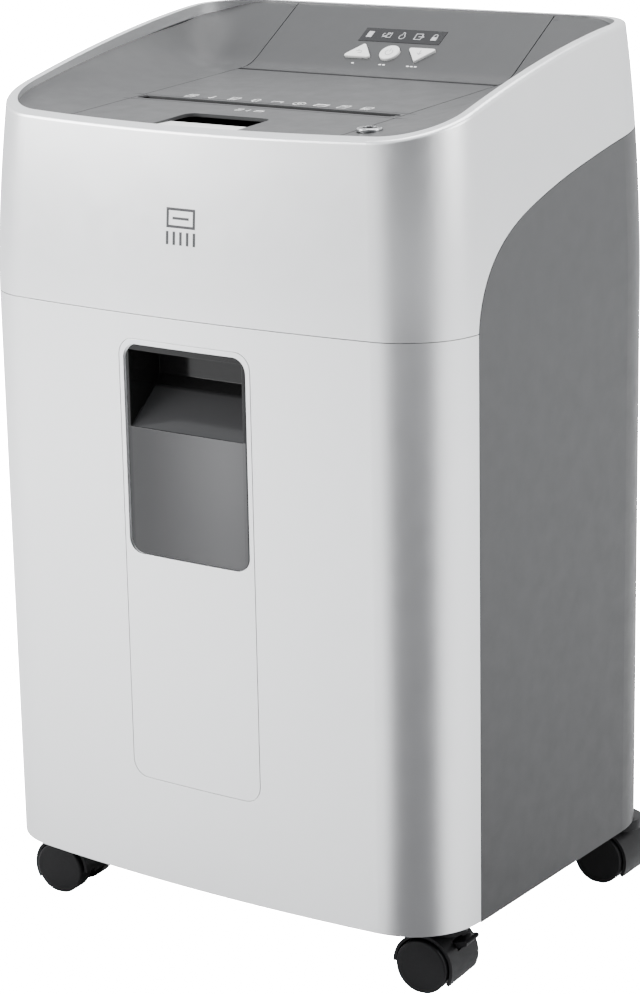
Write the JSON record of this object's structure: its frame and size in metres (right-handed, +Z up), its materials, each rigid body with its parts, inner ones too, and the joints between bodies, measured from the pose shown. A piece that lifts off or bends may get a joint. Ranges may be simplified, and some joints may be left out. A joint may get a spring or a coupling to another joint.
{
  "type": "paper shredder",
  "caption": "Upright office paper shredder on four twin-wheel casters with hinged auto-feed lid, key lock, sloped key panel, windowed pull-out bin drawer and geared cutter block",
  "frame": {"origin": "on the floor, under the centre of the machine's overall box", "axes": "+Z up, front faces -Y, +X to the right seen from the front"},
  "size_m": [0.4, 0.335, 0.6581],
  "materials": {
    "silver_shell": "satin silver-white lacquer",
    "grey_insert": "fine satin grain, warm grey",
    "grey_side": "fine grain, dark grey",
    "smoked_window": "smoked translucent plastic",
    "display": "dark translucent strip",
    "button_white": "white gloss keys",
    "black_plastic": "black, lightly grained",
    "wheel_black": "hard black nylon",
    "rocker_black": "glossy black rocker",
    "bin_grey": "dark grey moulded bin",
    "chrome_lock": "polished ring",
    "lock_core": "black core with a key slit",
    "zinc_steel": "zinc plated sheet and rods",
    "cutter_steel": "hardened ground steel",
    "gear_steel": "sintered steel gears",
    "roller_rubber": "soft grip rubber",
    "motor_case": "black enamelled can",
    "circuit_board": "green solder mask"
  },
  "bodies": {
    "cabinet": {"base_plate": "black_plastic", "side_frames": "zinc_steel", "side_panel_left": "grey_side", "side_panel_right": "grey_side", "rear_panel": "grey_side", "head_shell": "silver_shell", "top_bezel": "grey_insert", "control_panel": "grey_insert", "display_window": "display", "control_board": "circuit_board", "lid_hinge_pins": "zinc_steel", "paper_tray": "black_plastic", "machine_deck": "zinc_steel", "cutter_cheeks": "zinc_steel", "tie_rods": "zinc_steel", "cutter_bearings": "cutter_steel", "stripper_combs": "black_plastic", "idler_pin": "zinc_steel", "motor": "motor_case", "lock_bezel": "chrome_lock", "power_inlet": "black_plastic", "switch_frame": "black_plastic", "rear_screws": "zinc_steel", "interlock_switch": "black_plastic", "drawer_rails": "zinc_steel", "caster_stems": "zinc_steel"},
    "lid": {"lid": "grey_insert", "feed_throat": "black_plastic"},
    "pressure_plate": {"pressure_plate": "black_plastic"},
    "drawer": {"drawer_front": "silver_shell", "front_inlay": "silver_shell", "window_insert": "smoked_window", "drawer_pan": "bin_grey", "waste_bin": "bin_grey", "drawer_runners": "zinc_steel"},
    "reverse_button": {"reverse_button": "button_white"},
    "power_button": {"power_button": "button_white"},
    "forward_button": {"forward_button": "button_white"},
    "lock_core": {"lock_cylinder": "lock_core", "lock_cam": "zinc_steel"},
    "main_switch": {"main_switch": "rocker_black"},
    "cutter_rear": {"cutter_rear": "cutter_steel", "gear_rear": "gear_steel", "gear_drive": "gear_steel"},
    "cutter_front": {"cutter_front": "cutter_steel", "gear_front": "gear_steel"},
    "idler": {"gear_idler": "gear_steel"},
    "pinion": {"motor_pinion": "gear_steel"},
    "pickup": {"pickup_shaft": "cutter_steel", "pickup_rollers": "roller_rubber"},
    "caster_front_right": {"caster_hood_front_right": "black_plastic"},
    "wheels_front_right": {"caster_wheels_front_right": "wheel_black"},
    "brake_front_right": {"brake_lever_front_right": "black_plastic"},
    "caster_front_left": {"caster_hood_front_left": "black_plastic"},
    "wheels_front_left": {"caster_wheels_front_left": "wheel_black"},
    "caster_rear_right": {"caster_hood_rear_right": "black_plastic"},
    "wheels_rear_right": {"caster_wheels_rear_right": "wheel_black"},
    "caster_rear_left": {"caster_hood_rear_left": "black_plastic"},
    "wheels_rear_left": {"caster_wheels_rear_left": "wheel_black"},
    "brake_rear_left": {"brake_lever_rear_left": "black_plastic"}
  },
  "joints": [
    {"name": "lid_hinge", "type": "hinge", "parent": "cabinet", "child": "lid", "pos_m": [0, 0.0555, 0.60921], "axis": [-1, 0, 0], "range_deg": [0, 75]},
    {"name": "pressure_plate_hinge", "type": "hinge", "parent": "lid", "child": "pressure_plate", "pos_m": [0, 0.039, 0.599], "axis": [-1, 0, 0], "range_deg": [0, 13], "stiffness_Nm_per_rad": 0.05, "springref_deg": -17.19},
    {"name": "drawer_slide", "type": "slide", "parent": "cabinet", "child": "drawer", "axis": [0, -1, 0], "range_m": [0, 0.3]},
    {"name": "reverse_press", "type": "slide", "parent": "cabinet", "child": "reverse_button", "axis": [0, 0.5355, -0.8446], "range_m": [0, 0.0012], "stiffness_N_per_m": 400, "springref_m": -0.0005},
    {"name": "power_press", "type": "slide", "parent": "cabinet", "child": "power_button", "axis": [0, 0.5355, -0.8446], "range_m": [0, 0.0012], "stiffness_N_per_m": 400, "springref_m": -0.0005},
    {"name": "forward_press", "type": "slide", "parent": "cabinet", "child": "forward_button", "axis": [0, 0.5355, -0.8446], "range_m": [0, 0.0012], "stiffness_N_per_m": 400, "springref_m": -0.0005},
    {"name": "key_turn", "type": "hinge", "parent": "cabinet", "child": "lock_core", "pos_m": [0.1248, -0.1185, 0.6], "axis": [0, 0, 1], "range_deg": [0, 90]},
    {"name": "main_switch_rock", "type": "hinge", "parent": "cabinet", "child": "main_switch", "pos_m": [0.098, 0.1615, 0.112], "axis": [1, 0, 0], "range_deg": [0, 14]},
    {"name": "cutter_rear_spin", "type": "hinge", "parent": "cabinet", "child": "cutter_rear", "pos_m": [0, -0.0455, 0.516], "axis": [1, 0, 0], "continuous": true},
    {"name": "cutter_front_spin", "type": "hinge", "parent": "cabinet", "child": "cutter_front", "pos_m": [0, -0.0835, 0.516], "axis": [1, 0, 0], "continuous": true},
    {"name": "idler_spin", "type": "hinge", "parent": "cabinet", "child": "idler", "pos_m": [-0.128, 0.00145, 0.50602], "axis": [1, 0, 0], "continuous": true},
    {"name": "pinion_spin", "type": "hinge", "parent": "cabinet", "child": "pinion", "pos_m": [-0.128, 0.03816, 0.51585], "axis": [1, 0, 0], "continuous": true},
    {"name": "pickup_spin", "type": "hinge", "parent": "cabinet", "child": "pickup", "pos_m": [0, -0.0405, 0.55367], "axis": [1, 0, 0], "continuous": true},
    {"name": "swivel_front_right", "type": "hinge", "parent": "cabinet", "child": "caster_front_right", "pos_m": [0.17197, -0.1058, 0.045], "axis": [0, 0, 1], "continuous": true},
    {"name": "roll_front_right", "type": "hinge", "parent": "caster_front_right", "child": "wheels_front_right", "pos_m": [0.164, -0.1065, 0.02], "axis": [-0.0872, 0.9962, 0], "continuous": true},
    {"name": "brake_front_right", "type": "hinge", "parent": "caster_front_right", "child": "brake_front_right", "pos_m": [0.17974, -0.10512, 0.0323], "axis": [-0.0872, 0.9962, 0], "range_deg": [0, 14]},
    {"name": "swivel_front_left", "type": "hinge", "parent": "cabinet", "child": "caster_front_left", "pos_m": [-0.17596, -0.10734, 0.045], "axis": [0, 0, 1], "continuous": true},
    {"name": "roll_front_left", "type": "hinge", "parent": "caster_front_left", "child": "wheels_front_left", "pos_m": [-0.168, -0.1065, 0.02], "axis": [0.1045, -0.9945, 0], "continuous": true},
    {"name": "swivel_rear_right", "type": "hinge", "parent": "cabinet", "child": "caster_rear_right", "pos_m": [0.18, 0.13164, 0.045], "axis": [0, 0, 1], "continuous": true},
    {"name": "roll_rear_right", "type": "hinge", "parent": "caster_rear_right", "child": "wheels_rear_right", "pos_m": [0.172, 0.1315, 0.02], "axis": [-0.0175, 0.9998, 0], "continuous": true},
    {"name": "swivel_rear_left", "type": "hinge", "parent": "cabinet", "child": "caster_rear_left", "pos_m": [-0.17596, 0.13066, 0.045], "axis": [0, 0, 1], "continuous": true},
    {"name": "roll_rear_left", "type": "hinge", "parent": "caster_rear_left", "child": "wheels_rear_left", "pos_m": [-0.168, 0.1315, 0.02], "axis": [0.1045, -0.9945, 0], "continuous": true},
    {"name": "brake_rear_left", "type": "hinge", "parent": "caster_rear_left", "child": "brake_rear_left", "pos_m": [-0.18371, 0.12985, 0.0323], "axis": [0.1045, -0.9945, 0], "range_deg": [0, 14]}
  ],
  "couplings": [
    {"joint": "cutter_front_spin", "follows": "cutter_rear_spin", "ratio": -1},
    {"joint": "idler_spin", "follows": "cutter_rear_spin", "ratio": -1},
    {"joint": "pinion_spin", "follows": "cutter_rear_spin", "ratio": 1.7143},
    {"joint": "pickup_spin", "follows": "cutter_rear_spin", "ratio": -1}
  ]
}
